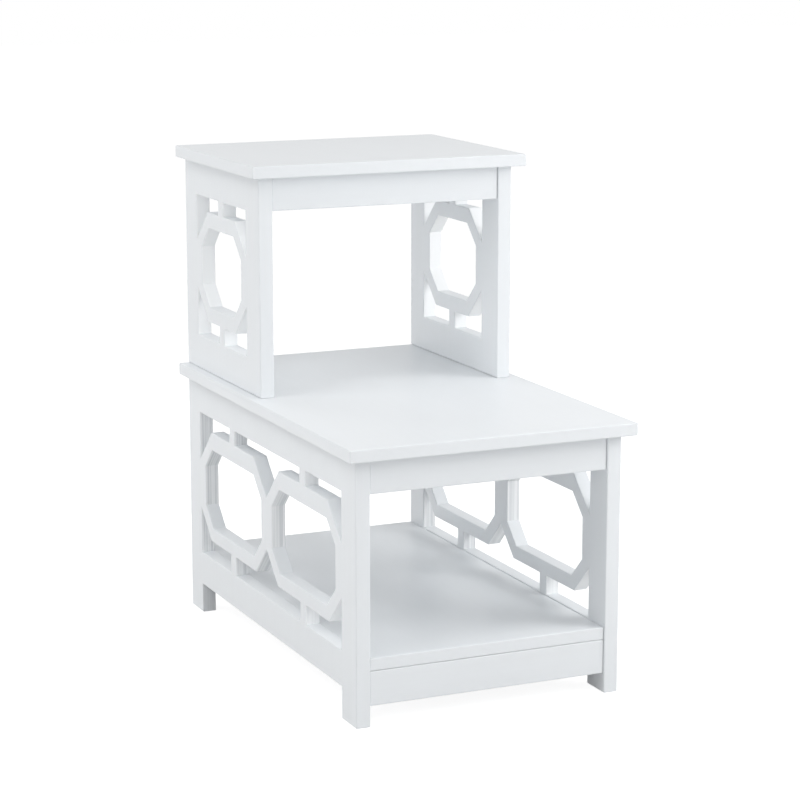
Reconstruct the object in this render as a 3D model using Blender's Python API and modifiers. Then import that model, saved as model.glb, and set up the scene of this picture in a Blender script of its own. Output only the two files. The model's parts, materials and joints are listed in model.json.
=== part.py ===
"""Step end table: a long low top and a short raised top on fretwork sides, with a shelf near the floor.

Units are metres, +Z is up and the front faces -Y. The origin is on the floor, under the long top's middle.
Every board is a separate piece. Boards meet in butt joints, held by dowels, cam locks and a few screws.
"""

import math

import bmesh
import bpy
from mathutils import Matrix, Vector

# Overall sizes
LOWER_TOP_HEIGHT = 0.327
STEP_RISE = 0.283
TOP_WIDTH = 0.362
LOWER_TOP_DEPTH = 0.570
UPPER_TOP_DEPTH = 0.279
SIDE_OVERHANG = 0.013
FRONT_OVERHANG = 0.016

# Boards
TOP_THICKNESS = 0.015
SHELF_THICKNESS = 0.015
STRIP_THICKNESS = 0.015
PANEL_THICKNESS = 0.018
STRIP_HEIGHT = 0.041
STRIP_RECESS = 0.002
RAIL_LIFT = 0.024
EDGE_RADIUS = 0.0012
EDGE_SEGMENTS = 2
JOINT_GAP = 0.0003

# Fretwork sides: legs and rails around an opening, octagon rings in it, short tabs above and below each ring
LEG_WIDTH = 0.042
UPPER_FRONT_LEG_WIDTH = 0.046
FOOT_ARCH_HEIGHT = 0.038
SIDE_RAIL_HEIGHT = 0.044
SILL_RISE = 0.001
RING_BAR = 0.018
RING_HOLE_CORNER = 0.026
TAB_WIDTH = 0.018
LOWER_RINGS = 2
LOWER_HEAD_TAB = 0.0183
LOWER_HEAD_BAR = 0.0232
LOWER_FOOT_TAB = 0.0235
LOWER_FOOT_BAR = 0.018
UPPER_RINGS = 1
UPPER_HEAD_TAB = 0.018
UPPER_HEAD_BAR = 0.020
UPPER_FOOT_TAB = 0.0212
UPPER_FOOT_BAR = 0.020

# Where fasteners sit: the first from a panel's edge, the step to the next, and dowels in a strip's end
END_INSET = 0.030
FASTENER_PITCH = 0.016
STRIP_DOWEL_INSET = 0.009
FACE_FLOOR = 0.005
FASTENER_CLEARANCE = 0.0003

# Dowels
DOWEL_RADIUS = 0.004
DOWEL_LENGTH = 0.030
DOWEL_CHAMFER = 0.001
DOWEL_SIDES = 10

# Cam locks: a disc bored into a hidden face, with a pocket for the bolt's head and a cross for the driver
CAM_RADIUS = 0.0073
CAM_FLOOR = 0.003
CAM_SETBACK = 0.024
CAM_SIDES = 16
CAM_CROSS_LENGTH = 0.009
CAM_CROSS_WIDTH = 0.0016
CAM_CROSS_DEPTH = 0.0018

# Cam bolts: a thread in the face of one board, then a collar, shank, neck and head inside the other
BOLT_THREAD_RADIUS = 0.0028
BOLT_COLLAR_RADIUS = 0.0034
BOLT_COLLAR_LENGTH = 0.0015
BOLT_SHANK_RADIUS = 0.0025
BOLT_NECK_RADIUS = 0.0016
BOLT_NECK_LENGTH = 0.004
BOLT_HEAD_RADIUS = 0.0029
BOLT_HEAD_LENGTH = 0.004
BOLT_SIDES = 8

# Screws up through the long top into the raised sides
SCREW_RADIUS = 0.0021
SCREW_HEAD_RADIUS = 0.0042
SCREW_HEAD_HEIGHT = 0.0032
SCREW_POINT = 0.004
SCREW_REACH = 0.028
SCREW_SIDES = 10

# Overlap of a cutter past the face that it enters
CUT_PAST = 0.001
MERGE = 0.00001

# Places worked out from the sizes above
BACK = LOWER_TOP_DEPTH / 2
LOWER_FRONT = FRONT_OVERHANG - LOWER_TOP_DEPTH / 2
UPPER_FRONT = BACK - UPPER_TOP_DEPTH + FRONT_OVERHANG
OUTER_X = TOP_WIDTH / 2 - SIDE_OVERHANG
INNER_X = OUTER_X - PANEL_THICKNESS
TABLE_HEIGHT = LOWER_TOP_HEIGHT + STEP_RISE
LOWER_PANEL_TOP = LOWER_TOP_HEIGHT - TOP_THICKNESS - JOINT_GAP
UPPER_PANEL_FOOT = LOWER_TOP_HEIGHT + JOINT_GAP
UPPER_PANEL_TOP = TABLE_HEIGHT - TOP_THICKNESS - JOINT_GAP
SHELF_UNDERSIDE = RAIL_LIFT + STRIP_HEIGHT + JOINT_GAP
SHELF_SURFACE = SHELF_UNDERSIDE + SHELF_THICKNESS
STRIP_LENGTH = 2 * (INNER_X - JOINT_GAP)
FACE_DEPTH = min(TOP_THICKNESS, PANEL_THICKNESS) - FACE_FLOOR
THINNEST_CAM_BOARD = min(PANEL_THICKNESS, SHELF_THICKNESS)
CAM_DEPTH = THINNEST_CAM_BOARD - CAM_FLOOR
CAM_AXIS = THINNEST_CAM_BOARD / 2
BOLT_BORE_RADIUS = BOLT_COLLAR_RADIUS + FASTENER_CLEARANCE
AXIS_X = INNER_X + CAM_AXIS
UP = Vector((0, 0, 1))
SIDES = {"left": -1, "right": 1}


def clear_scene():
    """Removes every object, so that the model starts from an empty scene."""
    for thing in list(bpy.data.objects):
        bpy.data.objects.remove(thing, do_unlink=True)


def new_collection(name):
    """Adds a collection to the scene."""
    collection = bpy.data.collections.new(name)
    bpy.context.scene.collection.children.link(collection)
    return collection


def new_material(name, colour, roughness, metallic):
    """Makes a plain material of one colour."""
    material = bpy.data.materials.new(name)
    material.use_nodes = True
    shader = material.node_tree.nodes["Principled BSDF"]
    shader.inputs["Base Color"].default_value = (*colour, 1)
    shader.inputs["Roughness"].default_value = roughness
    shader.inputs["Metallic"].default_value = metallic
    material.diffuse_color = (*colour, 1)
    return material


def new_object(name, data, collection, material=None):
    """Links a mesh or curve into a collection as a named object."""
    thing = bpy.data.objects.new(name, data)
    collection.objects.link(thing)
    if material:
        data.materials.append(material)
    return thing


def mesh_of(name, bm):
    """Turns a bmesh into a mesh and frees it."""
    mesh = bpy.data.meshes.new(name)
    bm.to_mesh(mesh)
    bm.free()
    return mesh


def evaluated_mesh(thing):
    """Returns an object's mesh with its modifiers applied, and removes the object."""
    bpy.context.view_layer.update()
    graph = bpy.context.evaluated_depsgraph_get()
    mesh = bpy.data.meshes.new_from_object(thing.evaluated_get(graph))
    bpy.data.objects.remove(thing, do_unlink=True)
    return mesh


def smooth_round_faces(mesh):
    """Shades curved faces smooth and keeps edges above 35 degrees sharp."""
    mesh.shade_smooth()
    mesh.set_sharp_from_angle(angle=math.radians(35))


def cylinder(bm, start, end, start_radius, end_radius, sides):
    """Adds a closed cylinder or cone between two points."""
    run = end - start
    turn = UP.rotation_difference(run).to_matrix().to_4x4()
    bmesh.ops.create_cone(
        bm,
        cap_ends=True,
        segments=sides,
        radius1=start_radius,
        radius2=end_radius,
        depth=run.length,
        matrix=Matrix.Translation((start + end) / 2) @ turn,
    )


def stand(foot, axis, entry=None):
    """Places a piece that stands on the origin as modelled: its foot, its Z axis and, if given, its X axis."""
    if entry:
        turn = Matrix((entry, axis.cross(entry), axis)).transposed().to_4x4()
    else:
        turn = UP.rotation_difference(axis).to_matrix().to_4x4()
    return Matrix.Translation(foot) @ turn


def combine(thing, tool, operation):
    """Cuts an object with another, or joins the two, and keeps the tool out of the finished model."""
    tool.hide_render = True
    tool.display_type = "WIRE"
    boolean = thing.modifiers.new(tool.name, "BOOLEAN")
    boolean.operation = operation
    boolean.object = tool
    boolean.solver = "EXACT"
    boolean.use_self = True


def turned_mesh(name, profile, sides, collection):
    """Turns a profile of (radius, height) points, from the top down, about the Z axis."""
    bm = bmesh.new()
    points = [bm.verts.new((radius, 0, height)) for radius, height in profile]
    for upper, lower in zip(points, points[1:]):
        bm.edges.new((upper, lower))
    thing = new_object(name, mesh_of(name, bm), collection)
    screw = thing.modifiers.new("turn", "SCREW")
    screw.axis = "Z"
    screw.angle = 2 * math.pi
    screw.steps = sides
    screw.render_steps = sides
    screw.use_merge_vertices = True
    screw.merge_threshold = MERGE
    return evaluated_mesh(thing)


class Joinery:
    """Collects the holes in each board, the dowels glued into it and the loose fasteners."""

    def __init__(self):
        self.holes = {}
        self.glued = {}
        self.loose = []

    def drill(self, board, start, end, start_radius, end_radius, sides):
        """Notes one hole in a board."""
        self.holes.setdefault(board, []).append((start, end, start_radius, end_radius, sides))

    def drill_dowel(self, board, start, end):
        """Notes a dowel's hole in a board."""
        radius = DOWEL_RADIUS + FASTENER_CLEARANCE
        self.drill(board, start, end, radius, radius, DOWEL_SIDES)

    def glued_dowel(self, face_board, edge_board, mouth, axis):
        """A dowel glued into a board's edge, which axis points into, and its hole in the other board."""
        foot = mouth - axis * FACE_DEPTH
        self.drill_dowel(face_board, foot - axis * FASTENER_CLEARANCE, mouth + axis * CUT_PAST)
        self.glued.setdefault(edge_board, []).append(stand(foot, axis))

    def dowel(self, name, face_board, edge_board, mouth, axis):
        """A loose dowel across a joint at mouth, with axis pointing into the board entered at its edge."""
        foot = mouth - axis * FACE_DEPTH
        tip = foot + axis * DOWEL_LENGTH
        self.drill_dowel(face_board, foot - axis * FASTENER_CLEARANCE, mouth + axis * CUT_PAST)
        self.drill_dowel(edge_board, mouth - axis * CUT_PAST, tip + axis * FASTENER_CLEARANCE)
        self.loose.append((name, "dowel", stand(foot, axis)))

    def cam_lock(self, bolt, cam, face_board, edge_board, mouth, axis, cam_side):
        """A bolt across a joint at mouth and the cam that holds its head, bored in from the cam_side."""
        thread = BOLT_THREAD_RADIUS + FASTENER_CLEARANCE
        bore = CAM_RADIUS + FASTENER_CLEARANCE
        foot = mouth - axis * FACE_DEPTH
        centre = mouth + axis * CAM_SETBACK
        shown_face = centre + cam_side * CAM_AXIS
        seat = shown_face - cam_side * CAM_DEPTH
        bottom = seat - cam_side * FASTENER_CLEARANCE
        past_joint = axis * CUT_PAST
        end = foot - axis * FASTENER_CLEARANCE
        self.drill(face_board, end, mouth + past_joint, thread, thread, BOLT_SIDES)
        self.drill(edge_board, mouth - past_joint, centre, BOLT_BORE_RADIUS, BOLT_BORE_RADIUS, BOLT_SIDES)
        self.drill(edge_board, bottom, shown_face + cam_side * CUT_PAST, bore, bore, CAM_SIDES)
        self.loose.append((bolt, "cam_bolt", stand(foot, axis)))
        self.loose.append((cam, "cam", stand(seat, cam_side, -axis)))

    def screw(self, name, face_board, edge_board, mouth, axis, thickness):
        """A countersunk screw through one board into the edge of the next."""
        shank = SCREW_RADIUS + FASTENER_CLEARANCE
        slope = (SCREW_HEAD_RADIUS - SCREW_RADIUS) / SCREW_HEAD_HEIGHT
        foot = mouth - axis * (thickness - FASTENER_CLEARANCE)
        tip = mouth + axis * (SCREW_REACH + FASTENER_CLEARANCE)
        sink = foot + axis * SCREW_HEAD_HEIGHT
        wide = SCREW_HEAD_RADIUS + FASTENER_CLEARANCE + slope * CUT_PAST
        narrow = shank - slope * CUT_PAST
        below = foot - axis * CUT_PAST
        self.drill(face_board, below, mouth + axis * CUT_PAST, shank, shank, SCREW_SIDES)
        self.drill(face_board, below, sink + axis * CUT_PAST, wide, narrow, SCREW_SIDES)
        self.drill(edge_board, mouth - axis * CUT_PAST, tip, shank, shank, SCREW_SIDES)
        self.loose.append((name, "screw", stand(foot, axis)))


def board(name, low, high, collection, material):
    """A rectangular board between two corners, with eased edges."""
    bm = bmesh.new()
    bmesh.ops.create_cube(bm, size=1, matrix=Matrix.Diagonal((*(high - low), 1)))
    thing = new_object(name, mesh_of(name, bm), collection, material)
    thing.location = (low + high) / 2
    bevel = thing.modifiers.new("eased edges", "BEVEL")
    bevel.width = EDGE_RADIUS
    bevel.segments = EDGE_SEGMENTS
    bevel.limit_method = "NONE"
    return thing


def octagon(front, back, foot, head, corner):
    """A rectangle with its four corners cut at 45 degrees."""
    return [
        (front + corner, foot),
        (back - corner, foot),
        (back, foot + corner),
        (back, head - corner),
        (back - corner, head),
        (front + corner, head),
        (front, head - corner),
        (front, foot + corner),
    ]


def gap_outline(opening, rings, index, rim, ring_edge, notch):
    """The gap between the frame and the rings beside boundary number index, on one side of the rings.

    rim is the height of the frame's edge and ring_edge that of the rings' edge. The cut corners of the two
    rings that meet at a boundary, or of the ring that meets the leg there, run to the gap's notch.
    """
    front, back = opening
    pitch = (back - front) / rings
    boundary = front + index * pitch
    corner = abs(ring_edge - notch)
    tab_reach = (pitch - TAB_WIDTH) / 2
    has_front_ring = index > 0
    has_back_ring = index < rings
    start = boundary - tab_reach if has_front_ring else boundary
    end = boundary + tab_reach if has_back_ring else boundary
    points = [(start, rim), (end, rim)]
    if has_back_ring:
        points += [(end, ring_edge), (boundary + corner, ring_edge)]
    points.append((boundary, notch))
    if has_front_ring:
        points += [(boundary - corner, ring_edge), (start, ring_edge)]
    return points


def fretwork(opening, rings, foot, foot_tab, foot_bar, head, head_tab, head_bar):
    """Outlines of everything cut from a panel's opening: each ring's hole, and the gaps around the rings.

    The bars across a ring's corners are as wide as the upright ones at its sides.
    """
    front, back = opening
    pitch = (back - front) / rings
    ring_foot = foot + foot_tab
    ring_head = head - head_tab
    hole_foot = ring_foot + foot_bar
    hole_head = ring_head - head_bar
    notch_depth = RING_HOLE_CORNER - RING_BAR * (math.sqrt(2) - 1)
    outlines = []
    for index in range(rings):
        start = front + index * pitch
        end = start + pitch
        outlines.append(octagon(start + RING_BAR, end - RING_BAR, hole_foot, hole_head, RING_HOLE_CORNER))
    for index in range(rings + 1):
        outlines.append(gap_outline(opening, rings, index, head, ring_head, hole_head - notch_depth))
        outlines.append(gap_outline(opening, rings, index, foot, ring_foot, hole_foot + notch_depth))
    return outlines


def side_panel(name, side, outlines, collection, material):
    """A side board cut from one sheet: outlines holds its edge and its cut-outs as (y, z) points."""
    curve = bpy.data.curves.new(name, "CURVE")
    curve.dimensions = "2D"
    curve.fill_mode = "BOTH"
    curve.extrude = PANEL_THICKNESS / 2 - EDGE_RADIUS
    curve.bevel_depth = EDGE_RADIUS
    curve.bevel_resolution = EDGE_SEGMENTS - 1
    curve.offset = -EDGE_RADIUS
    for points in outlines:
        spline = curve.splines.new("POLY")
        spline.points.add(len(points) - 1)
        for point, (y, z) in zip(spline.points, points):
            point.co = (y, z, 0, 1)
        spline.use_cyclic_u = True
    flat = new_object(name + "_outline", curve, collection)
    mesh = evaluated_mesh(flat)
    mesh.name = name
    bm = bmesh.new()
    bm.from_mesh(mesh)
    bmesh.ops.remove_doubles(bm, verts=bm.verts, dist=MERGE)
    bmesh.ops.recalc_face_normals(bm, faces=bm.faces)
    bm.to_mesh(mesh)
    bm.free()
    thing = new_object(name, mesh, collection, material)
    thing.rotation_euler = (math.pi / 2, 0, math.pi / 2)
    thing.location.x = side * (INNER_X + PANEL_THICKNESS / 2)
    return thing


def lower_panel_outlines():
    """Edge and cut-outs of a lower side: two legs to the floor, and two octagon rings between them."""
    arch_front = LOWER_FRONT + LEG_WIDTH
    arch_back = BACK - LEG_WIDTH
    edge = [
        (LOWER_FRONT, 0),
        (arch_front, 0),
        (arch_front, FOOT_ARCH_HEIGHT),
        (arch_back, FOOT_ARCH_HEIGHT),
        (arch_back, 0),
        (BACK, 0),
        (BACK, LOWER_PANEL_TOP),
        (LOWER_FRONT, LOWER_PANEL_TOP),
    ]
    foot = (SHELF_SURFACE + SILL_RISE, LOWER_FOOT_TAB, LOWER_FOOT_BAR)
    head = (LOWER_PANEL_TOP - SIDE_RAIL_HEIGHT, LOWER_HEAD_TAB, LOWER_HEAD_BAR)
    return [edge] + fretwork((arch_front, arch_back), LOWER_RINGS, *foot, *head)


def upper_panel_outlines():
    """Edge and cut-outs of a raised side: a frame around one octagon ring."""
    edge = [
        (UPPER_FRONT, UPPER_PANEL_FOOT),
        (BACK, UPPER_PANEL_FOOT),
        (BACK, UPPER_PANEL_TOP),
        (UPPER_FRONT, UPPER_PANEL_TOP),
    ]
    opening = (UPPER_FRONT + UPPER_FRONT_LEG_WIDTH, BACK - LEG_WIDTH)
    foot = (UPPER_PANEL_FOOT + SIDE_RAIL_HEIGHT, UPPER_FOOT_TAB, UPPER_FOOT_BAR)
    head = (UPPER_PANEL_TOP - SIDE_RAIL_HEIGHT, UPPER_HEAD_TAB, UPPER_HEAD_BAR)
    return [edge] + fretwork(opening, UPPER_RINGS, *foot, *head)


def strip(name, front, foot, collection, material):
    """An apron or rail between the sides, standing on its long edge."""
    half = STRIP_LENGTH / 2
    low = Vector((-half, front, foot))
    high = Vector((half, front + STRIP_THICKNESS, foot + STRIP_HEIGHT))
    return board(name, low, high, collection, material)


def make_boards(collection, material):
    """Makes the tops, shelf, sides, aprons and rails, by name."""
    boards = {}
    half = TOP_WIDTH / 2
    slabs = {
        "upper_top": (half, BACK - UPPER_TOP_DEPTH, BACK, TABLE_HEIGHT, TOP_THICKNESS),
        "lower_top": (half, -BACK, BACK, LOWER_TOP_HEIGHT, TOP_THICKNESS),
        "bottom_shelf": (
            STRIP_LENGTH / 2,
            LOWER_FRONT + STRIP_RECESS,
            BACK - STRIP_RECESS,
            SHELF_SURFACE,
            SHELF_THICKNESS,
        ),
    }
    for name, (reach, front, back, surface, thickness) in slabs.items():
        low = Vector((-reach, front, surface - thickness))
        high = Vector((reach, back, surface))
        boards[name] = board(name, low, high, collection, material)
    for word, side in SIDES.items():
        lower = f"lower_{word}_panel"
        upper = f"upper_{word}_panel"
        boards[lower] = side_panel(lower, side, lower_panel_outlines(), collection, material)
        boards[upper] = side_panel(upper, side, upper_panel_outlines(), collection, material)
    for name, (front, foot) in strip_places().items():
        boards[name] = strip(name, front, foot, collection, material)
    return boards


def strip_places():
    """Front face and lower edge of each apron and rail."""
    back = BACK - STRIP_RECESS - STRIP_THICKNESS
    lower = LOWER_FRONT + STRIP_RECESS
    upper = UPPER_FRONT + STRIP_RECESS
    lower_foot = LOWER_PANEL_TOP - STRIP_HEIGHT
    upper_foot = UPPER_PANEL_TOP - STRIP_HEIGHT
    return {
        "upper_front_apron": (upper, upper_foot),
        "upper_back_apron": (back, upper_foot),
        "lower_front_apron": (lower, lower_foot),
        "lower_back_apron": (back, lower_foot),
        "bottom_front_rail": (lower, RAIL_LIFT),
        "bottom_back_rail": (back, RAIL_LIFT),
    }


def edge_places(front, inset):
    """Two places along a panel, the same distance from its front and back edges."""
    return {"front": front + inset, "back": BACK - inset}


def join_tops(joinery, word, side):
    """Holds each top down on a side, and screws the raised side to the long top."""
    cam_side = Vector((-side, 0, 0))
    x = side * AXIS_X
    first, second, third, fourth = (END_INSET + step * FASTENER_PITCH for step in range(4))
    tiers = (("upper", UPPER_FRONT, UPPER_PANEL_TOP), ("lower", LOWER_FRONT, LOWER_PANEL_TOP))
    for tier, front, head in tiers:
        top = f"{tier}_top"
        panel = f"{tier}_{word}_panel"
        z = head + JOINT_GAP / 2
        for place, y in edge_places(front, first).items():
            joinery.dowel(f"{top}_dowel_{word}_{place}", top, panel, Vector((x, y, z)), -UP)
        for place, y in edge_places(front, third).items():
            bolt = f"{top}_bolt_{word}_{place}"
            cam = f"{top}_cam_{word}_{place}"
            joinery.cam_lock(bolt, cam, top, panel, Vector((x, y, z)), -UP, cam_side)
    raised = f"upper_{word}_panel"
    z = LOWER_TOP_HEIGHT + JOINT_GAP / 2
    for place, y in edge_places(UPPER_FRONT, second).items():
        name = f"step_screw_{word}_{place}"
        joinery.screw(name, "lower_top", raised, Vector((x, y, z)), UP, TOP_THICKNESS)
    for place, y in edge_places(UPPER_FRONT, fourth).items():
        joinery.dowel(f"step_dowel_{word}_{place}", "lower_top", raised, Vector((x, y, z)), UP)


def join_shelf(joinery, word, side):
    """Holds the shelf between the lower sides."""
    panel = f"lower_{word}_panel"
    axis = Vector((-side, 0, 0))
    x = side * (INNER_X - JOINT_GAP / 2)
    z = SHELF_UNDERSIDE + CAM_AXIS
    for place, y in edge_places(LOWER_FRONT, END_INSET).items():
        joinery.dowel(f"shelf_dowel_{word}_{place}", panel, "bottom_shelf", Vector((x, y, z)), axis)
    for place, y in edge_places(LOWER_FRONT, END_INSET + 2 * FASTENER_PITCH).items():
        bolt = f"shelf_bolt_{word}_{place}"
        cam = f"shelf_cam_{word}_{place}"
        joinery.cam_lock(bolt, cam, panel, "bottom_shelf", Vector((x, y, z)), axis, -UP)


def join_strips(joinery, word, side):
    """Holds the aprons and rails between the sides, with two glued dowels at each end."""
    axis = Vector((-side, 0, 0))
    x = side * (INNER_X - JOINT_GAP / 2)
    for name, (front, foot) in strip_places().items():
        panel = f"upper_{word}_panel" if name.startswith("upper") else f"lower_{word}_panel"
        y = front + STRIP_THICKNESS / 2
        for z in (foot + STRIP_DOWEL_INSET, foot + STRIP_HEIGHT - STRIP_DOWEL_INSET):
            joinery.glued_dowel(panel, name, Vector((x, y, z)), axis)


def dowel_mesh(collection):
    """A dowel with chamfered ends, standing on its end."""
    profile = [
        (0, DOWEL_LENGTH),
        (DOWEL_RADIUS - DOWEL_CHAMFER, DOWEL_LENGTH),
        (DOWEL_RADIUS, DOWEL_LENGTH - DOWEL_CHAMFER),
        (DOWEL_RADIUS, DOWEL_CHAMFER),
        (DOWEL_RADIUS - DOWEL_CHAMFER, 0),
        (0, 0),
    ]
    return turned_mesh("dowel", profile, DOWEL_SIDES, collection)


def bolt_mesh(collection):
    """A cam bolt standing on its thread. Its head ends inside the cam."""
    collar = FACE_DEPTH + JOINT_GAP + BOLT_COLLAR_LENGTH
    tip = FACE_DEPTH + CAM_SETBACK + BOLT_HEAD_LENGTH / 2
    neck_end = tip - BOLT_HEAD_LENGTH
    shank_end = neck_end - BOLT_NECK_LENGTH
    profile = [
        (0, tip),
        (BOLT_NECK_RADIUS, tip),
        (BOLT_HEAD_RADIUS, tip - BOLT_HEAD_LENGTH / 3),
        (BOLT_HEAD_RADIUS, neck_end),
        (BOLT_NECK_RADIUS, neck_end),
        (BOLT_NECK_RADIUS, shank_end),
        (BOLT_SHANK_RADIUS, shank_end),
        (BOLT_SHANK_RADIUS, collar),
        (BOLT_COLLAR_RADIUS, collar),
        (BOLT_COLLAR_RADIUS, collar - BOLT_COLLAR_LENGTH),
        (BOLT_THREAD_RADIUS, collar - BOLT_COLLAR_LENGTH),
        (BOLT_THREAD_RADIUS, 0),
        (0, 0),
    ]
    return turned_mesh("cam_bolt", profile, BOLT_SIDES, collection)


def screw_mesh(collection):
    """A countersunk screw standing on its head."""
    tip = TOP_THICKNESS - FASTENER_CLEARANCE + SCREW_REACH
    profile = [
        (0, tip),
        (SCREW_RADIUS, tip - SCREW_POINT),
        (SCREW_RADIUS, SCREW_HEAD_HEIGHT),
        (SCREW_HEAD_RADIUS, 0),
        (0, 0),
    ]
    return turned_mesh("screw", profile, SCREW_SIDES, collection)


def cam_mesh(collection):
    """A cam lock with its shown face up. Its bolt comes in along -X, through a pocket in its side."""
    profile = [(0, CAM_DEPTH), (CAM_RADIUS, CAM_DEPTH), (CAM_RADIUS, 0), (0, 0)]
    disc = new_object("cam", turned_mesh("cam_disc", profile, CAM_SIDES, collection), collection)
    pocket_height = CAM_DEPTH - CAM_AXIS
    pocket = bmesh.new()
    entry = Vector((CAM_RADIUS + CUT_PAST, 0, pocket_height))
    end = Vector((-BOLT_HEAD_LENGTH, 0, pocket_height))
    cylinder(pocket, entry, end, BOLT_BORE_RADIUS, BOLT_BORE_RADIUS, BOLT_SIDES)
    cross_depth = CAM_CROSS_DEPTH + CUT_PAST
    cross = bmesh.new()
    for length, width in ((CAM_CROSS_LENGTH, CAM_CROSS_WIDTH), (CAM_CROSS_WIDTH, CAM_CROSS_LENGTH)):
        place = Matrix.Translation((0, 0, CAM_DEPTH - CAM_CROSS_DEPTH + cross_depth / 2))
        size = Matrix.Diagonal((length, width, cross_depth, 1))
        bmesh.ops.create_cube(cross, size=1, matrix=place @ size)
    tools = []
    for name, shape in (("cam_pocket", pocket), ("cam_cross", cross)):
        tools.append(new_object(name, mesh_of(name, shape), collection))
        combine(disc, tools[-1], "DIFFERENCE")
    mesh = evaluated_mesh(disc)
    for tool in tools:
        bpy.data.objects.remove(tool, do_unlink=True)
    return mesh


def make_fasteners(joinery, shapes, collection, materials):
    """Places every loose fastener. Fasteners of a kind share one mesh."""
    for kind, mesh in shapes.items():
        mesh.materials.append(materials[kind])
        smooth_round_faces(mesh)
    for name, kind, place in joinery.loose:
        new_object(name, shapes[kind], collection).matrix_world = place


def glue_dowels(joinery, dowel, boards, collection):
    """Joins the glued dowels to the boards that carry them."""
    for name, places in joinery.glued.items():
        bm = bmesh.new()
        for place in places:
            first_new = len(bm.verts)
            bm.from_mesh(dowel)
            bm.verts.ensure_lookup_table()
            bmesh.ops.transform(bm, matrix=place, verts=bm.verts[first_new:])
        tool = new_object(name + "_dowels", mesh_of(name + "_dowels", bm), collection)
        combine(boards[name], tool, "UNION")


def drill_boards(joinery, boards, collection):
    """Cuts every board's holes with one cutter for the board."""
    for name, holes in joinery.holes.items():
        bm = bmesh.new()
        for hole in holes:
            cylinder(bm, *hole)
        tool = new_object(name + "_holes", mesh_of(name + "_holes", bm), collection)
        combine(boards[name], tool, "DIFFERENCE")


def main():
    """Builds the table."""
    clear_scene()
    table = new_collection("step_end_table")
    cutters = new_collection("cutters")
    paint = new_material("white_satin_paint", (0.86, 0.86, 0.85), 0.35, 0.0)
    beech = new_material("beech", (0.62, 0.44, 0.27), 0.6, 0.0)
    zinc = new_material("zinc_plated_steel", (0.66, 0.67, 0.69), 0.35, 1.0)
    shapes = {
        "dowel": dowel_mesh(cutters),
        "cam_bolt": bolt_mesh(cutters),
        "cam": cam_mesh(cutters),
        "screw": screw_mesh(cutters),
    }
    finishes = {"dowel": beech, "cam_bolt": zinc, "cam": zinc, "screw": zinc}
    boards = make_boards(table, paint)
    joinery = Joinery()
    for word, side in SIDES.items():
        join_tops(joinery, word, side)
        join_shelf(joinery, word, side)
        join_strips(joinery, word, side)
    glue_dowels(joinery, shapes["dowel"], boards, cutters)
    drill_boards(joinery, boards, cutters)
    make_fasteners(joinery, shapes, table, finishes)


main()
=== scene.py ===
"""Looks of a step end table: satin white paint, beech dowels and zinc-plated fittings.

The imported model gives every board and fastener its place. This file dresses them, refines the
fasteners and sets a plain studio around the table. Lengths are metres in the model's own frame:
+Z is up and the front faces -Y.
"""

import json
import logging
import math
from collections.abc import Callable, Iterable
from dataclasses import dataclass, field
from enum import Enum

import bmesh
import bpy
from mathutils import Matrix, Vector

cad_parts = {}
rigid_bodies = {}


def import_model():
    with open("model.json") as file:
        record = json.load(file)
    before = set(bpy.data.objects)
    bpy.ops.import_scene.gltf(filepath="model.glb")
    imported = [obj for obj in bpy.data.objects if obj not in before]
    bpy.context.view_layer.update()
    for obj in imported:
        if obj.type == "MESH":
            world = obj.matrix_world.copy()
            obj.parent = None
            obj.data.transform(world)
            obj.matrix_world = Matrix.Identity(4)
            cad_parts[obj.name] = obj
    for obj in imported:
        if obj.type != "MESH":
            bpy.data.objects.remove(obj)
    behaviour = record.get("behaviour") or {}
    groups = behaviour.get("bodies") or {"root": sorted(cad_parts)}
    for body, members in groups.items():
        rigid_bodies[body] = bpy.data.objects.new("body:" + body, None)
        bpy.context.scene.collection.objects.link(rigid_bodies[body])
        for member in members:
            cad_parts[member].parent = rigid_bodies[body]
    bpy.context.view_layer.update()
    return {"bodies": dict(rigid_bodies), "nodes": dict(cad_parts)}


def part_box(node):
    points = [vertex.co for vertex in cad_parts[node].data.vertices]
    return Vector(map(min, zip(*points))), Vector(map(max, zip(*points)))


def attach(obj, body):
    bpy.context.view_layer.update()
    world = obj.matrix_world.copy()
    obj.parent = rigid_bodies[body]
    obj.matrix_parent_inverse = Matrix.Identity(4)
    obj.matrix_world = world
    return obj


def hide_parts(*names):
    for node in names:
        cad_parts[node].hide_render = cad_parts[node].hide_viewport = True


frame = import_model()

LOG = logging.getLogger("step_end_table")
BODY = "root"
IMAGE_PIXELS = 800

# How far a cutter stands out of the face that it enters, and the angle that is shaded as a corner
CUT_PAST = 0.0005
CRISP_ANGLE = math.radians(40.0)

# Sockets of a Mix node that mixes colours
MIX_FIRST, MIX_SECOND, MIX_RESULT = 6, 7, 2

# Rays that show a surface to the eye: straight, mirrored or through glass
MIRROR_RAY = "Is Glossy Ray"
EYE_RAYS = ("Is Camera Ray", MIRROR_RAY, "Is Transmission Ray")

Triple = tuple[float, float, float]
Colour = Triple
Row = tuple[float, float]
Relief = Callable[[float, float], float]


class Axis(Enum):
    """A direction in the model's frame, by the letter that names it."""

    X = "X"
    Y = "Y"
    Z = "Z"


class Tier(Enum):
    """A tier of the table, by the word that its boards' names start with."""

    UPPER = "upper"
    LOWER = "lower"


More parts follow.
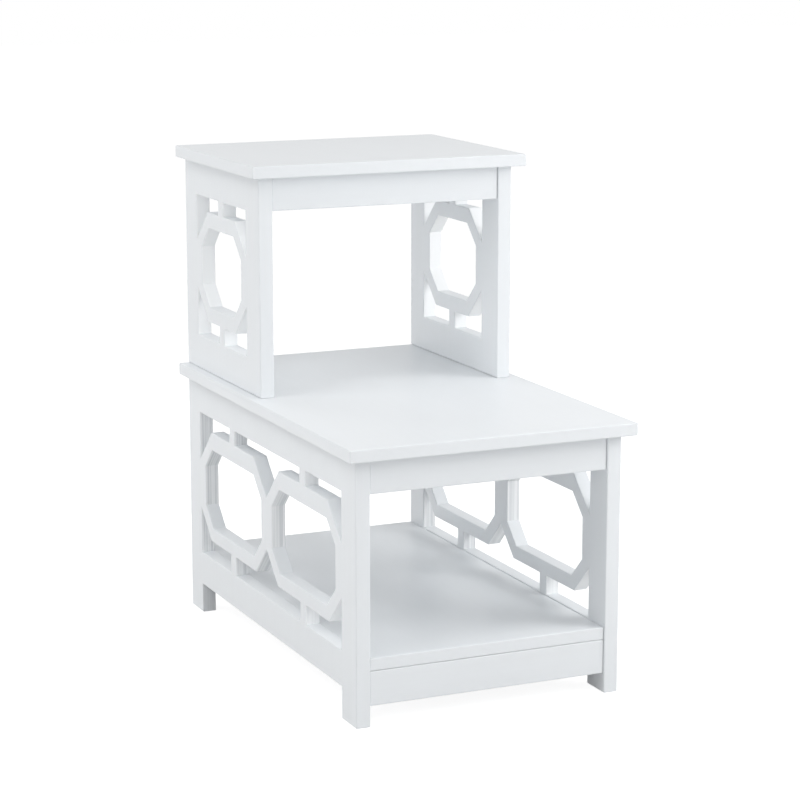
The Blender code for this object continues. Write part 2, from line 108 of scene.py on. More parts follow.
class Link:
    """One output socket in a node tree. Arithmetic on it adds Math nodes."""

    def __init__(self, sheet: "NodeSheet", socket: bpy.types.NodeSocket) -> None:
        """Wraps a socket.

        Args:
            sheet: The node tree's wrapper.
            socket: The output socket.
        """
        self.sheet = sheet
        self.socket = socket

    def math(self, operation: str, first: "Link | float", second: "Link | float" = 0.0) -> "Link":
        """Adds a Math node.

        Args:
            operation: The node's operation.
            first: The first operand.
            second: The second operand, where the operation has one.

        Returns:
            The node's output.
        """
        return self.sheet.node("ShaderNodeMath", {"operation": operation}, {0: first, 1: second})

    def __add__(self, other: "Link | float") -> "Link":
        """Sum of this and another value."""
        return self.math("ADD", self, other)

    def __radd__(self, other: float) -> "Link":
        """Sum of a number and this value."""
        return self.math("ADD", other, self)

    def __sub__(self, other: "Link | float") -> "Link":
        """This value less another."""
        return self.math("SUBTRACT", self, other)

    def __rsub__(self, other: float) -> "Link":
        """A number less this value."""
        return self.math("SUBTRACT", other, self)

    def __mul__(self, other: "Link | float") -> "Link":
        """Product of this and another value."""
        return self.math("MULTIPLY", self, other)

    def __rmul__(self, other: float) -> "Link":
        """Product of a number and this value."""
        return self.math("MULTIPLY", other, self)

    def __gt__(self, other: "Link | float") -> "Link":
        """1 where this value is the greater, and 0 elsewhere."""
        return self.math("GREATER_THAN", self, other)

    def __lt__(self, other: "Link | float") -> "Link":
        """1 where this value is the smaller, and 0 elsewhere."""
        return self.math("LESS_THAN", self, other)

    def __abs__(self) -> "Link":
        """This value without its sign."""
        return self.math("ABSOLUTE", self)

    def at_least(self, other: "Link | float") -> "Link":
        """The greater of this and another value."""
        return self.math("MAXIMUM", self, other)

    def swing(self) -> "Link":
        """This value less the middle of the range from 0 to 1."""
        return self - 0.5

    def stretch(self, low: float, high: float) -> "Link":
        """This value from low to high, drawn out to run from 0 to 1."""
        return self.sheet.node("ShaderNodeMapRange", {}, {0: self, 1: low, 2: high})


class NodeSheet:
    """The nodes of one material, or of the world."""

    def __init__(self, owner: bpy.types.Material | bpy.types.World) -> None:
        """Empties the owner's node tree.

        Args:
            owner: The material or world whose nodes these are.
        """
        owner.use_nodes = True
        self.tree = owner.node_tree
        self.tree.nodes.clear()

    def node(
        self,
        kind: str,
        settings: dict[str, object] | None = None,
        sockets: dict[str | int, object] | None = None,
        output: str | int = 0,
    ) -> Link:
        """Adds one node.

        Args:
            kind: The node's type.
            settings: Properties to set first.
            sockets: A value or a link for each input socket, by name or number.
            output: The output socket to return, by name or number.

        Returns:
            The chosen output.
        """
        made = self.tree.nodes.new(kind)
        for name, value in (settings or {}).items():
            setattr(made, name, value)
        for name, value in (sockets or {}).items():
            if isinstance(value, Link):
                self.tree.links.new(value.socket, made.inputs[name])
            else:
                made.inputs[name].default_value = value
        return Link(self, made.outputs[output]) if made.outputs else Link(self, None)

    def blend(self, share: Link, first: Colour | Link, second: Colour | Link) -> Link:
        """Mixes two colours.

        Args:
            share: How much of the second colour shows.
            first: The colour at share 0.
            second: The colour at share 1.

        Returns:
            The mixed colour.
        """
        sockets = {0: share}
        for key, colour in ((MIX_FIRST, first), (MIX_SECOND, second)):
            sockets[key] = colour if isinstance(colour, Link) else (*colour, 1.0)
        return self.node("ShaderNodeMix", {"data_type": "RGBA"}, sockets, MIX_RESULT)

    def bump(self, height: Link, strength: float, distance: float) -> Link:
        """A Bump node.

        Args:
            height: The height map, from 0 to 1.
            strength: How much of the bump shows.
            distance: The height at 1, in metres.

        Returns:
            The bumped normal.
        """
        sockets = {"Height": height, "Strength": strength, "Distance": distance}
        return self.node("ShaderNodeBump", {}, sockets, "Normal")

    def part(self, vector: Link, axis: Axis) -> Link:
        """The part of a vector along one axis."""
        return self.node("ShaderNodeSeparateXYZ", {}, {0: vector}, axis.value)

    def surface(self, sockets: dict[str | int, object]) -> None:
        """Ends a material in a Principled shader with the given sockets.

        Args:
            sockets: A value or a link for each socket of the shader.
        """
        shader = self.node("ShaderNodeBsdfPrincipled", {}, sockets)
        self.node("ShaderNodeOutputMaterial", {}, {"Surface": shader})


@dataclass(frozen=True)
class Mottle:
    """One noise in a finish, and its shares in the finish's tone, sheen and relief.

    Attributes:
        across: Waves per metre across the grain.
        detail: How many finer layers are added.
        along: Waves per metre along the grain, where they differ.
        finer: How strong the finer layers are.
        tone: Share in how the finish's colours mix.
        sheen: How far the roughness swings.
        relief: Share in the height of the bumps.
    """

    across: float
    detail: float
    along: float | None = None
    finer: float = 0.5
    tone: float = 0.0
    sheen: float = 0.0
    relief: float = 0.0

    def noise(self, sheet: NodeSheet, place: Link, grain: Axis = Axis.Z) -> Link:
        """Adds the noise.

        Args:
            sheet: The nodes to add to.
            place: The coordinates to read.
            grain: The direction of the grain, where the noise has one.

        Returns:
            The noise, from 0 to 1.
        """
        along = self.across if self.along is None else self.along
        waves = tuple(along if axis is grain else self.across for axis in Axis)
        settings = {"operation": "MULTIPLY"}
        stretched = sheet.node("ShaderNodeVectorMath", settings, {0: place, 1: waves})
        sockets = {"Scale": 1.0, "Detail": self.detail, "Roughness": self.finer}
        return sheet.node("ShaderNodeTexNoise", {}, {"Vector": stretched, **sockets}, "Fac")


@dataclass(frozen=True)
class CutFaces:
    """Where a panel's cut-outs lie, which of their steep sides get painted light, and where the
    router's lines print through the paint.

    Attributes:
        front: The depth behind which the cut-outs lie, clear of the panel's front edge.
        back: The depth in front of which they lie.
        foot: The height above which the steep sides get painted light.
        lined_share: How far the router's lines print through at most.
        level_share: The upward part of a normal from which a side is no longer steep.
        edge_share: The sideways part of a normal from which a face isn't a cut-out's side.
        smooth_until: The depth in front of which no line prints through.
        lined_from: The depth behind which all of them do.
    """

    front: float
    back: float
    foot: float
    lined_share: float
    level_share: float
    edge_share: float = 0.6
    smooth_until: float = -0.15
    lined_from: float = -0.02

    def masks(self, sheet: NodeSheet, place: Link) -> tuple[Link, Link]:
        """Finds the cut-outs' steep sides, which get painted light, and the lines in them.

        Args:
            sheet: The nodes to add to.
            place: The coordinates to read.

        Returns:
            1 where light is painted on, and how far the lines print through, from 0 to 1.
        """
        normal = sheet.node("ShaderNodeNewGeometry", output="True Normal")
        depth = sheet.part(place, Axis.Y)
        side = abs(sheet.part(normal, Axis.X)) < self.edge_share
        inside = (depth > self.front) * (depth < self.back)
        steep = side * inside * (sheet.part(normal, Axis.Z) < self.level_share)
        prints = self.lined_share * depth.stretch(self.smooth_until, self.lined_from)
        return steep * (sheet.part(place, Axis.Z) > self.foot), steep * prints


@dataclass(frozen=True)
class SatinPaint:
    """Sprayed white paint with a soft sheen, and the faint grain of the fibreboard below."""

    colour: Colour = (0.83, 0.858, 0.882)
    thin_colour: Colour = (0.79, 0.813, 0.832)
    cut_colour: Colour = (0.735, 0.755, 0.772)
    # Painted light: a lighter colour drawn on the cut-outs' steep sides, which lie in shade
    painted_light_colour: Colour = (0.935, 0.95, 0.96)
    roughness: float = 0.34
    reflectance: float = 0.36
    streaks: Mottle = Mottle(150.0, 3.0, along=5.0, tone=0.45, relief=0.25)
    clouds: Mottle = Mottle(7.0, 2.0, tone=0.35, sheen=0.06)
    peel: Mottle = Mottle(420.0, 1.0, relief=0.6)
    speckle: Mottle = Mottle(1700.0, 2.0, finer=0.6, tone=0.20, sheen=0.10, relief=0.15)
    lines: Mottle = Mottle(3.0, 1.0, along=420.0, sheen=0.12, relief=1.2)
    line_low: float = 0.35
    line_high: float = 0.65
    bump_share: float = 0.30
    bump_height: float = 0.00012

    def material(self, name: str, grain: Axis, cut: CutFaces | None = None) -> bpy.types.Material:
        """Makes the paint for boards whose grain runs one way.

        Args:
            name: The material's name.
            grain: The direction of the board's grain.
            cut: Where a router's lines print through the paint and the cut-outs' sides get painted
                light, if anywhere.

        Returns:
            The material.
        """
        coat = bpy.data.materials.new(name)
        sheet = NodeSheet(coat)
        place = sheet.node("ShaderNodeTexCoord", output="Object")
        mottles = (self.streaks, self.clouds, self.peel, self.speckle)
        layers = [(mottle, mottle.noise(sheet, place, grain)) for mottle in mottles]
        thin = total(noise * mottle.tone for mottle, noise in layers if mottle.tone)
        sheen = total(noise.swing() * mottle.sheen for mottle, noise in layers if mottle.sheen)
        height = total(noise * mottle.relief for mottle, noise in layers if mottle.relief)
        colour = sheet.blend(thin, self.colour, self.thin_colour)
        roughness = self.roughness + sheen
        if cut:
            painted_light, lined = cut.masks(sheet, place)
            lines = self.lines.noise(sheet, place, Axis.X)
            shown = lined * lines.stretch(self.line_low, self.line_high)
            # Painted light: the cut-outs' steep sides are lightened
            colour = sheet.blend(painted_light, colour, self.painted_light_colour)
            colour = sheet.blend(shown, colour, self.cut_colour)
            roughness = roughness + lined * self.lines.sheen
            height = height + lined * lines * self.lines.relief
        sheet.surface(
            {
                "Base Color": colour,
                "Roughness": roughness,
                "Specular IOR Level": self.reflectance,
                "Normal": sheet.bump(height, self.bump_share, self.bump_height),
            }
        )
        return coat


@dataclass(frozen=True)
class BareBeech:
    """Planed beech with short dark flecks along its grain."""

    colour: Colour = (0.66, 0.47, 0.29)
    dark_colour: Colour = (0.50, 0.33, 0.19)
    fleck_colour: Colour = (0.40, 0.24, 0.13)
    roughness: float = 0.62
    rings: Mottle = Mottle(520.0, 3.0, along=14.0, sheen=0.12, relief=0.7)
    flecks: Mottle = Mottle(1500.0, 1.0, along=160.0, tone=0.6, relief=0.3)
    fleck_level: float = 0.66
    bump_share: float = 0.35
    bump_height: float = 0.0001

    def material(self, name: str, grain: Axis) -> bpy.types.Material:
        """Makes the wood for pieces whose grain runs one way.

        Args:
            name: The material's name.
            grain: The direction of the grain.

        Returns:
            The material.
        """
        wood = bpy.data.materials.new(name)
        sheet = NodeSheet(wood)
        place = sheet.node("ShaderNodeTexCoord", output="Object")
        rings = self.rings.noise(sheet, place, grain)
        flecks = self.flecks.noise(sheet, place, grain) > self.fleck_level
        colour = sheet.blend(rings, self.colour, self.dark_colour)
        height = rings * self.rings.relief + flecks * self.flecks.relief
        sheet.surface(
            {
                "Base Color": sheet.blend(flecks * self.flecks.tone, colour, self.fleck_colour),
                "Roughness": self.roughness + rings.swing() * self.rings.sheen,
                "Normal": sheet.bump(height, self.bump_share, self.bump_height),
            }
        )
        return wood


@dataclass(frozen=True)
class ZincPlate:
    """Bright zinc plate with a faint cloudy bloom."""

    colour: Colour = (0.70, 0.71, 0.73)
    bloom_colour: Colour = (0.58, 0.60, 0.62)
    roughness: float = 0.30
    bloom: Mottle = Mottle(420.0, 3.0, sheen=0.18)
    grit: Mottle = Mottle(3200.0, 1.0)
    bump_share: float = 0.25
    bump_height: float = 0.00005

    def material(self, name: str) -> bpy.types.Material:
        """Makes the plate.

        Args:
            name: The material's name.

        Returns:
            The material.
        """
        plate = bpy.data.materials.new(name)
        sheet = NodeSheet(plate)
        place = sheet.node("ShaderNodeTexCoord", output="Object")
        bloom = self.bloom.noise(sheet, place)
        grit = self.grit.noise(sheet, place)
        sheet.surface(
            {
                "Base Color": sheet.blend(bloom, self.colour, self.bloom_colour),
                "Metallic": 1.0,
                "Roughness": self.roughness + bloom.swing() * self.bloom.sheen,
                "Normal": sheet.bump(grit, self.bump_share, self.bump_height),
            }
        )
        return plate


@dataclass
class PaintedBoards:
    """The boards of the table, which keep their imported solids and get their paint."""

    finish: SatinPaint = field(default_factory=SatinPaint)
    edge_margin: float = 0.004
    foot_height: float = 0.040
    # Per tier: how far the router's lines print through, and the upward part of a normal below
    # which cut-out sides get painted light
    upper_lined: float = 0.0
    upper_level: float = 0.85
    lower_lined: float = 1.0
    lower_level: float = 0.30

    def side_paint(self, tier: Tier) -> bpy.types.Material:
        """Makes the paint of one tier's fretwork sides.

        Args:
            tier: The tier.

        Returns:
            The material.
        """
        low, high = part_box(f"{tier.value}_left_panel")
        is_lower = tier is Tier.LOWER
        cut = CutFaces(
            front=low.y + self.edge_margin,
            back=high.y - self.edge_margin,
            foot=low.z + self.foot_height,
            lined_share=self.lower_lined if is_lower else self.upper_lined,
            level_share=self.lower_level if is_lower else self.upper_level,
        )
        return self.finish.material(f"satin_paint_{tier.value}_sides", Axis.Z, cut)

    def dress(self) -> None:
        """Gives every board its paint, by the way its grain runs."""
        lengthwise = self.finish.material("satin_paint_lengthwise", Axis.Y)
        crosswise = self.finish.material("satin_paint_crosswise", Axis.X)
        sides = {tier: self.side_paint(tier) for tier in Tier}
        for name, node in sorted(frame["nodes"].items()):
            if name.endswith("_panel"):
                paint(node, sides[Tier(name.split("_")[0])])
            elif name.endswith(("_apron", "_rail")):
                paint(node, crosswise)
            elif name in ("upper_top", "lower_top", "bottom_shelf"):
                paint(node, lengthwise)


class Way(Enum):
    """The way in which a recess is cut into a face, as its sign along Z."""

    UP = 1.0
    DOWN = -1.0


class FastenerKind(Enum):
    """A kind of fastener, by the word that its pieces' names hold."""

    DOWEL = "dowel"
    BOLT = "bolt"
    CAM = "cam"
    SCREW = "screw"


@dataclass(frozen=True)
class Flutes:
    """Straight grooves pressed along a dowel, which let glue and air out of its hole."""

    count: int = 16
    depth: float = 0.00035

    def relief(self, angle: float, height: float) -> float:
        """Depth of the grooves below the round.

        Args:
            angle: The angle about the axis, in radians.
            height: The height along the axis. The grooves are the same at every height.

        Returns:
            The depth.
        """
        return self.depth * (0.5 + 0.5 * math.cos(self.count * angle))


@dataclass(frozen=True)
class Thread:
    """A right-hand thread with sloped flanks, which runs out at both ends."""

    start: float
    end: float
    pitch: float
    depth: float
    crest_share: float = 0.25
    rows_per_turn: int = 6

    def heights(self) -> list[float]:
        """Heights of the rows that draw the thread."""
        count = round((self.end - self.start) / self.pitch * self.rows_per_turn)
        return [self.start + (self.end - self.start) * index / count for index in range(count + 1)]

    def relief(self, angle: float, height: float) -> float:
        """Depth of the thread's flanks and roots below its crests.

        Args:
            angle: The angle about the axis, in radians.
            height: The height along the axis.

        Returns:
            The depth.
        """
        turn = (height / self.pitch - angle / math.tau) % 1.0
        flank = (abs(2.0 * turn - 1.0) - self.crest_share) / (1.0 - self.crest_share)
        run_out = min(height - self.start, self.end - height) / (self.pitch / 2.0)
        return self.depth * max(0.0, flank) * min(1.0, max(0.0, run_out))


@dataclass(frozen=True)
class TurnedShape:
    """A solid turned about Z from rows of (radius, height), with a relief cut into its round."""

    name: str
    rows: tuple[Row, ...]
    sides: int
    relief: Relief | None = None
    deepest_share: float = 0.45

    def ring(self, bm: bmesh.types.BMesh, radius: float, height: float) -> list[bmesh.types.BMVert]:
        """Adds one row of points.

        Args:
            bm: The mesh to add to.
            radius: The row's radius.
            height: The row's height.

        Returns:
            The points, counter-clockwise seen from above.
        """
        points = []
        for side in range(self.sides):
            angle = math.tau * side / self.sides
            depth = self.relief(angle, height) if self.relief else 0.0
            reach = radius - min(depth, self.deepest_share * radius)
            points.append(bm.verts.new((reach * math.cos(angle), reach * math.sin(angle), height)))
        return points

    def mesh(self) -> bpy.types.Mesh:
        """Makes the solid.

        Returns:
            The mesh, closed at both ends.
        """
        bm = bmesh.new()
        rings = [self.ring(bm, radius, height) for radius, height in self.rows]
        bm.faces.new(reversed(rings[0]))
        bm.faces.new(rings[-1])
        for lower, upper in zip(rings, rings[1:]):
            for side in range(self.sides):
                after = (side + 1) % self.sides
                bm.faces.new((lower[side], lower[after], upper[after], upper[side]))
        return mesh_from(self.name, bm)


@dataclass(frozen=True)
class CrossRecess:
    """A cross-shaped recess for a screwdriver, narrower at its floor."""

    length: float
    width: float
    depth: float
    floor_share: float = 0.65

    def cutter(self, face: float, way: Way) -> bpy.types.Mesh:
        """Makes the solid that cuts the recess.

        Args:
            face: The height of the face that it is cut into.
            way: The way in which it is cut.

        Returns:
            The cutter.
        """
        bm = bmesh.new()
        for length, width in ((self.length, self.width), (self.width, self.length)):
            for vert in bmesh.ops.create_cube(bm, size=1.0)["verts"]:
                deep = vert.co.z > 0.0
                share = self.floor_share if deep else 1.0
                height = face + way.value * (self.depth if deep else -CUT_PAST)
                vert.co = (vert.co.x * length * share, vert.co.y * width * share, height)
        return mesh_from("cross_recess", bm)


@dataclass(frozen=True)
class FlutedDowel:
    """A beech dowel with chamfered ends, standing on one of them."""

    radius: float = 0.004
    length: float = 0.030
    chamfer: float = 0.001
    sides: int = 96
    flutes: Flutes = Flutes()

    def mesh(self) -> bpy.types.Mesh:
        """Makes the dowel.

        Returns:
            The mesh.
        """
        end = self.radius - self.chamfer
        rows = (
            (end, 0.0),
            (self.radius, self.chamfer),
            (self.radius, self.length - self.chamfer),
            (end, self.length),
        )
        dowel = TurnedShape("fluted_dowel", rows, self.sides, self.flutes.relief)
        return with_smooth_rounds(dowel.mesh())


@dataclass(frozen=True)
class CamBolt:
    """A steel bolt, standing on the thread in one board. A cam in the next pulls on its head."""

    thread_radius: float = 0.0028
    thread_length: float = 0.0103
    thread_pitch: float = 0.0013
    thread_depth: float = 0.0006
    point: float = 0.0008
    collar_radius: float = 0.0034
    collar_length: float = 0.0015
    shank_radius: float = 0.0025
    shank_end: float = 0.028
    neck_radius: float = 0.0016
    neck_end: float = 0.032
    head_radius: float = 0.0029
    head_cone: float = 0.0013
    length: float = 0.036
    edge: float = 0.0002
    sides: int = 28
    recess: CrossRecess = CrossRecess(0.0024, 0.0007, 0.0012)

    def rows(self, thread: Thread) -> tuple[Row, ...]:
        """Rows of the bolt from its thread to its head.

        Args:
            thread: The thread.

        Returns:
            The rows as (radius, height).
        """
        collar_end = self.thread_length + self.collar_length
        return (
            (self.thread_radius - self.point, 0.0),
            *((self.thread_radius, height) for height in thread.heights()),
            (self.collar_radius - self.edge, self.thread_length),
            (self.collar_radius, self.thread_length + self.edge),
            (self.collar_radius, collar_end - self.edge),
            (self.collar_radius - self.edge, collar_end),
            (self.shank_radius, collar_end),
            (self.shank_radius, self.shank_end - 2.0 * self.edge),
            (self.neck_radius, self.shank_end),
            (self.neck_radius, self.neck_end),
            (self.head_radius - self.edge, self.neck_end),
            (self.head_radius, self.neck_end + self.edge),
            (self.head_radius, self.length - self.head_cone),
            (self.neck_radius, self.length),
        )

    def mesh(self) -> bpy.types.Mesh:
        """Makes the bolt.

        Returns:
            The mesh.
        """
        thread = Thread(self.point, self.thread_length, self.thread_pitch, self.thread_depth)
        bolt = TurnedShape("cam_bolt", self.rows(thread), self.sides, thread.relief).mesh()
        return with_smooth_rounds(cut_from(bolt, [self.recess.cutter(self.length, Way.DOWN)]))


@dataclass(frozen=True)
class CamLock:
    """A cast cam, its shown face up. The bolt comes in from +X, where the face's arrow points."""

    radius: float = 0.0073
    depth: float = 0.012
    bevel: float = 0.0004
    rim: float = 0.0009
    dish: float = 0.0003
    pocket_radius: float = 0.0037
    pocket_height: float = 0.0045
    pocket_end: float = -0.004
    arrow_length: float = 0.0011
    arrow_width: float = 0.0015
    arrow_depth: float = 0.0003
    arrow_gap: float = 0.0002
    sides: int = 48
    recess: CrossRecess = CrossRecess(0.008, 0.0016, 0.0018, floor_share=0.8)

    def rows(self) -> tuple[Row, ...]:
        """Rows of the cam from its foot to its dished face.

        Returns:
            The rows as (radius, height).
        """
        inner = self.radius - self.bevel - self.rim
        return (
            (self.radius - self.bevel, 0.0),
            (self.radius, self.bevel),
            (self.radius, self.depth - self.bevel),
            (self.radius - self.bevel, self.depth),
            (inner, self.depth),
            (inner - self.dish, self.depth - self.dish),
        )

    def pocket(self) -> bpy.types.Mesh:
        """Makes the solid that cuts the bolt's way in from the cam's side.

        Returns:
            The cutter.
        """
        far = self.radius + CUT_PAST
        turn = Matrix.Rotation(math.radians(90.0), 4, "Y")
        middle = Matrix.Translation(((far + self.pocket_end) / 2.0, 0.0, self.pocket_height))
        bm = bmesh.new()
        bmesh.ops.create_cone(
            bm,
            cap_ends=True,
            segments=self.sides // 2,
            radius1=self.pocket_radius,
            radius2=self.pocket_radius,
            depth=far - self.pocket_end,
            matrix=middle @ turn,
        )
        return mesh_from("bolt_pocket", bm)

    def arrow(self) -> bpy.types.Mesh:
        """Makes the solid that cuts the arrow into the face.

        Returns:
            The cutter.
        """
        tip = self.radius - self.bevel - self.rim - self.dish - self.arrow_gap
        tail = tip - self.arrow_length
        outline = ((tip, 0.0), (tail, self.arrow_width / 2.0), (tail, -self.arrow_width / 2.0))
        floor = self.depth - self.dish - self.arrow_depth
        bm = bmesh.new()
        levels = (floor, self.depth + CUT_PAST)
        low, high = ([bm.verts.new((x, y, z)) for x, y in outline] for z in levels)
        bm.faces.new(reversed(low))
        bm.faces.new(high)
        for side in range(len(outline)):
            after = (side + 1) % len(outline)
            bm.faces.new((low[side], low[after], high[after], high[side]))
        return mesh_from("arrow", bm)

    def mesh(self) -> bpy.types.Mesh:
        """Makes the cam.

        Returns:
            The mesh.
        """
        disc = TurnedShape("cam_lock", self.rows(), self.sides).mesh()
        cross = self.recess.cutter(self.depth - self.dish, Way.DOWN)
        return with_smooth_rounds(cut_from(disc, [self.pocket(), cross, self.arrow()]))


@dataclass(frozen=True)
class CountersunkScrew:
    """A screw for fibreboard with a countersunk head, which it stands on."""

    radius: float = 0.0021
    head_radius: float = 0.0041
    head_edge: float = 0.0003
    head_height: float = 0.0032
    length: float = 0.0427
    point: float = 0.004
    tip_radius: float = 0.0002
    pitch: float = 0.0018
    thread_depth: float = 0.0006
    sides: int = 24
    recess: CrossRecess = CrossRecess(0.0046, 0.0010, 0.0019, floor_share=0.5)

    def mesh(self) -> bpy.types.Mesh:
        """Makes the screw.

        Returns:
            The mesh.
        """
        thread = Thread(self.head_height, self.length, self.pitch, self.thread_depth)
        rows = [(self.head_radius, 0.0), (self.head_radius - self.head_edge / 2.0, self.head_edge)]
        for height in thread.heights():
            taper = min(1.0, (self.length - height) / self.point)
            rows.append((self.tip_radius + (self.radius - self.tip_radius) * taper, height))
        screw = TurnedShape("countersunk_screw", tuple(rows), self.sides, thread.relief).mesh()
        return with_smooth_rounds(cut_from(screw, [self.recess.cutter(0.0, Way.UP)]))


@dataclass
class Fasteners:
    """Dowels, cam bolts, cam locks and screws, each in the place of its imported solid."""

    beech: BareBeech = field(default_factory=BareBeech)
    zinc: ZincPlate = field(default_factory=ZincPlate)
    dowel: FlutedDowel = field(default_factory=FlutedDowel)
    bolt: CamBolt = field(default_factory=CamBolt)
    cam: CamLock = field(default_factory=CamLock)
    screw: CountersunkScrew = field(default_factory=CountersunkScrew)

    def shapes(self) -> dict[FastenerKind, bpy.types.Mesh]:
        """Makes one mesh for each kind of fastener.

        Returns:
            The meshes, by kind.
        """
        return {
            FastenerKind.DOWEL: self.dowel.mesh(),
            FastenerKind.BOLT: self.bolt.mesh(),
            FastenerKind.CAM: self.cam.mesh(),
            FastenerKind.SCREW: self.screw.mesh(),
        }

    def stand(self, name: str, kind: FastenerKind) -> Matrix:
        """Finds how a fastener stands in its joint.

        Args:
            name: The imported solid's name.
            kind: The fastener's kind.

        Returns:
            The place and turn that stand the kind's mesh where the solid is.
        """
        low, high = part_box(name)
        middle = (low + high) / 2.0
        inward = Vector((-math.copysign(1.0, middle.x), 0.0, 0.0))
        down = Vector((0.0, 0.0, -1.0))
        if name.startswith("shelf"):
            driven, shown = inward, down
        elif name.startswith("step"):
            driven, shown = -down, inward
        else:
            driven, shown = down, inward
        axis, across = (shown, -driven) if kind is FastenerKind.CAM else (driven, shown)
        foot = middle - axis * abs((high - low).dot(axis)) / 2.0
        turn = Matrix((across, axis.cross(across), axis)).transposed().to_4x4()
        return Matrix.Translation(foot) @ turn

    def build(self) -> None:
        """Puts a finished fastener in the place of every packed one."""
        wood = self.beech.material("beech", Axis.Z)
        plate = self.zinc.material("zinc_plate")
        shapes = self.shapes()
        for name, node in sorted(frame["nodes"].items()):
            kind = next((kind for kind in FastenerKind if f"_{kind.value}_" in name), None)
            if kind is None:
                continue
            finish, slot = (wood, "beech") if kind is FastenerKind.DOWEL else (plate, "zinc_plate")
            piece = bpy.data.objects.new(f"{name}_piece", shapes[kind])
            bpy.context.scene.collection.objects.link(piece)
            piece.matrix_world = self.stand(name, kind)
            paint(node, finish)
            paint(piece, finish)
            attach(piece, BODY)
            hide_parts(name)


def total(links: Iterable[Link]) -> Link:
    """Adds up values of one node tree.

    Args:
        links: One value or more.

    Returns:
        Their sum.
    """
    first, *rest = links
    return sum(rest, first)


def grey(level: float) -> tuple[float, float, float, float]:
    """An opaque grey."""
    return (level, level, level, 1.0)


def mesh_from(name: str, bm: bmesh.types.BMesh) -> bpy.types.Mesh:
    """Keeps a finished BMesh as a mesh.

    Args:
        name: The mesh's name.
        bm: The shape, which is freed.

    Returns:
        The mesh, with its faces turned outwards.
    """
    bmesh.ops.recalc_face_normals(bm, faces=bm.faces)
    mesh = bpy.data.meshes.new(name)
    bm.to_mesh(mesh)
    bm.free()
    return mesh


def cut_from(mesh: bpy.types.Mesh, cutters: Iterable[bpy.types.Mesh]) -> bpy.types.Mesh:
    """Cuts solids out of a solid.

    Args:
        mesh: The solid.
        cutters: The solids to take away.

    Returns:
        What is left.
    """
    linked = bpy.context.scene.collection.objects
    body, *tools = (bpy.data.objects.new(shape.name, shape) for shape in (mesh, *cutters))
    linked.link(body)
    for tool in tools:
        linked.link(tool)
        boolean = body.modifiers.new(tool.name, "BOOLEAN")
        boolean.operation = "DIFFERENCE"
        boolean.solver = "EXACT"
        boolean.use_self = True
        boolean.object = tool
    graph = bpy.context.evaluated_depsgraph_get()
    left = bpy.data.meshes.new_from_object(body.evaluated_get(graph))
    left.name = f"{mesh.name}_cut"
    for thing in (body, *tools):
        bpy.data.objects.remove(thing, do_unlink=True)
    return left


def with_smooth_rounds(mesh: bpy.types.Mesh) -> bpy.types.Mesh:
    """Shades a mesh's rounds smooth and keeps its corners crisp.

    Args:
        mesh: The mesh.

    Returns:
        The same mesh.
    """
    mesh.polygons.foreach_set("use_smooth", [True] * len(mesh.polygons))
    mesh.set_sharp_from_angle(angle=CRISP_ANGLE)
    return mesh


def paint(piece: bpy.types.Object, material: bpy.types.Material) -> None:
    """Gives a piece one material.

    Args:
        piece: The piece.
        material: Its finish.
    """
    piece.data.materials.clear()
    piece.data.materials.append(material)
    LOG.info("%s: %s", piece.name, material.name)


@dataclass(frozen=True)
class SoftBox:
    """A soft square lamp, out of the picture and out of all reflections."""

    name: str
    place: Triple
    power: float
    aim: Triple = (0.0, 0.0, 0.35)
    side: float = 1.2

    def light(self) -> bpy.types.Object:
        """Makes the lamp.

        Returns:
            The lamp.
        """
        data = bpy.data.lights.new(self.name, "AREA")
        data.shape = "SQUARE"
        data.size = self.side
        data.energy = self.power
        lamp = bpy.data.objects.new(self.name, data)
        lamp.location = self.place
        sight = Vector(self.aim) - Vector(self.place)
        lamp.rotation_euler = sight.to_track_quat("-Z", "Y").to_euler()
        lamp.visible_camera = False
        lamp.visible_glossy = False
        bpy.context.scene.collection.objects.link(lamp)
        return lamp


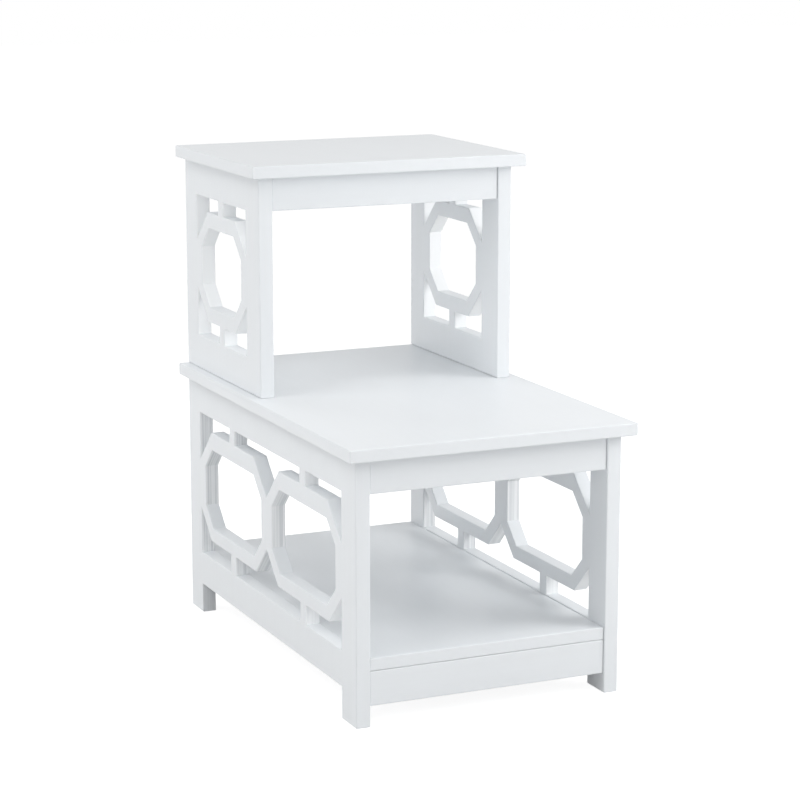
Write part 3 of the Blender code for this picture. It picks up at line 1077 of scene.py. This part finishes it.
@dataclass
class Studio:
    """A white studio: a floor that keeps a faint shadow, a white surround and soft lamps.

    Attributes:
        floor_side: The floor's side.
        floor_drop: How far it lies below the feet.
        floor_bounce: How much light it throws onto the table.
        floor_shade: How strongly the shadow on it shows.
        floor_white: The glow that lifts it to white.
        sky: The surround's light from straight above.
        mirror_dim: How much dimmer the surround's mirror image is at the horizon.
        dim_until: The upward part of a direction from which that image is white.
        lamps: The lamps.
    """

    floor_side: float = 24.0
    floor_drop: float = 0.0002
    floor_bounce: float = 0.62
    floor_shade: float = 0.40
    floor_white: float = 0.87
    sky: float = 0.61
    mirror_dim: float = 0.60
    dim_until: float = 0.22
    lamps: tuple[SoftBox, ...] = (
        SoftBox("high_left_box", (-2.03, -0.36, 2.80), 21.2, side=1.6),
        SoftBox("left_box", (-1.70, -0.10, 0.70), 4.6, aim=(0.0, 0.0, 0.30)),
        SoftBox("front_box", (-0.85, -1.50, 0.80), 6.6),
        SoftBox("right_box", (1.20, -1.20, 0.85), 8.6),
        SoftBox("high_right_box", (1.40, -0.90, 1.30), 17.3),
        SoftBox("back_box", (-0.75, 1.70, 0.90), 13.0),
    )

    def build(self) -> None:
        """Makes the floor, the surround and the lamps."""
        self.make_floor()
        self.make_surround()
        for lamp in self.lamps:
            lamp.light()

    def seen(self, sheet: NodeSheet) -> Link:
        """Tells rays that show a surface to the eye from rays that only carry light.

        Args:
            sheet: The nodes to add to.

        Returns:
            1 for rays to the eye, and 0 for the others.
        """
        straight, mirrored, through = (
            sheet.node("ShaderNodeLightPath", output=ray) for ray in EYE_RAYS
        )
        return straight.at_least(mirrored).at_least(through)

    def make_floor(self) -> None:
        """Makes a plain floor. Its own glow lifts it to white, and the rest keeps the shadow."""
        mesh = bpy.data.meshes.new("floor")
        bm = bmesh.new()
        bmesh.ops.create_grid(bm, x_segments=1, y_segments=1, size=self.floor_side / 2)
        bm.to_mesh(mesh)
        bm.free()
        floor = bpy.data.objects.new("floor", mesh)
        floor.location.z = -self.floor_drop
        bpy.context.scene.collection.objects.link(floor)
        material = bpy.data.materials.new("white_floor")
        sheet = NodeSheet(material)
        bounce = sheet.node("ShaderNodeBsdfDiffuse", {}, {"Color": grey(self.floor_bounce)})
        shade = sheet.node("ShaderNodeBsdfDiffuse", {}, {"Color": grey(self.floor_shade)})
        glow = sheet.node("ShaderNodeEmission", {}, {"Strength": self.floor_white})
        shown = sheet.node("ShaderNodeAddShader", {}, {0: shade, 1: glow})
        mixed = sheet.node("ShaderNodeMixShader", {}, {0: self.seen(sheet), 1: bounce, 2: shown})
        sheet.node("ShaderNodeOutputMaterial", {}, {"Surface": mixed})
        mesh.materials.append(material)

    def make_surround(self) -> None:
        """Makes a surround that is seen as white, and whose light falls from above."""
        world = bpy.data.worlds.new("studio")
        bpy.context.scene.world = world
        sheet = NodeSheet(world)
        place = sheet.node("ShaderNodeTexCoord", output="Generated")
        rise = sheet.part(place, Axis.Z)
        level = self.sky * rise.at_least(0.0)
        mirrored = sheet.node("ShaderNodeLightPath", output=MIRROR_RAY)
        dim = self.mirror_dim * mirrored * (1.0 - rise.stretch(0.0, self.dim_until))
        white = {"Color": grey(1.0)}
        light = sheet.node("ShaderNodeBackground", {}, {**white, "Strength": level})
        shown = sheet.node("ShaderNodeBackground", {}, {**white, "Strength": 1.0 - dim})
        mixed = sheet.node("ShaderNodeMixShader", {}, {0: self.seen(sheet), 1: light, 2: shown})
        sheet.node("ShaderNodeOutputWorld", {}, {"Surface": mixed})


@dataclass(frozen=True)
class StillCamera:
    """A long lens from the front left, a little above the table."""

    place: Triple = (-1.2194, -2.7399, 0.9322)
    heading_degrees: float = 24.107
    tilt_degrees: float = 11.617
    focal_pixels: float = 2491.4
    sensor_mm: float = 36.0
    reach: float = 100.0

    def build(self) -> bpy.types.Object:
        """Makes the camera and the view settings.

        Returns:
            The camera.
        """
        data = bpy.data.cameras.new("still_camera")
        data.sensor_width = self.sensor_mm
        data.lens = self.focal_pixels * self.sensor_mm / IMAGE_PIXELS
        data.clip_end = self.reach
        camera = bpy.data.objects.new("still_camera", data)
        camera.location = self.place
        camera.rotation_euler = (
            math.radians(90.0 - self.tilt_degrees),
            0.0,
            math.radians(-self.heading_degrees),
        )
        bpy.context.scene.collection.objects.link(camera)
        bpy.context.scene.camera = camera
        bpy.context.scene.view_settings.view_transform = "Standard"
        return camera


def clear_start_scene() -> None:
    """Removes the objects that a new file holds, and keeps the model."""
    kept = set(frame["nodes"].values()) | set(frame["bodies"].values())
    for thing in list(bpy.data.objects):
        if thing not in kept:
            bpy.data.objects.remove(thing, do_unlink=True)


def main() -> None:
    """Dresses the table and sets the studio."""
    logging.basicConfig(level=logging.INFO, format="%(message)s")
    clear_start_scene()
    StillCamera().build()
    PaintedBoards().dress()
    Fasteners().build()
    Studio().build()


if __name__ == "__main__":
    main()
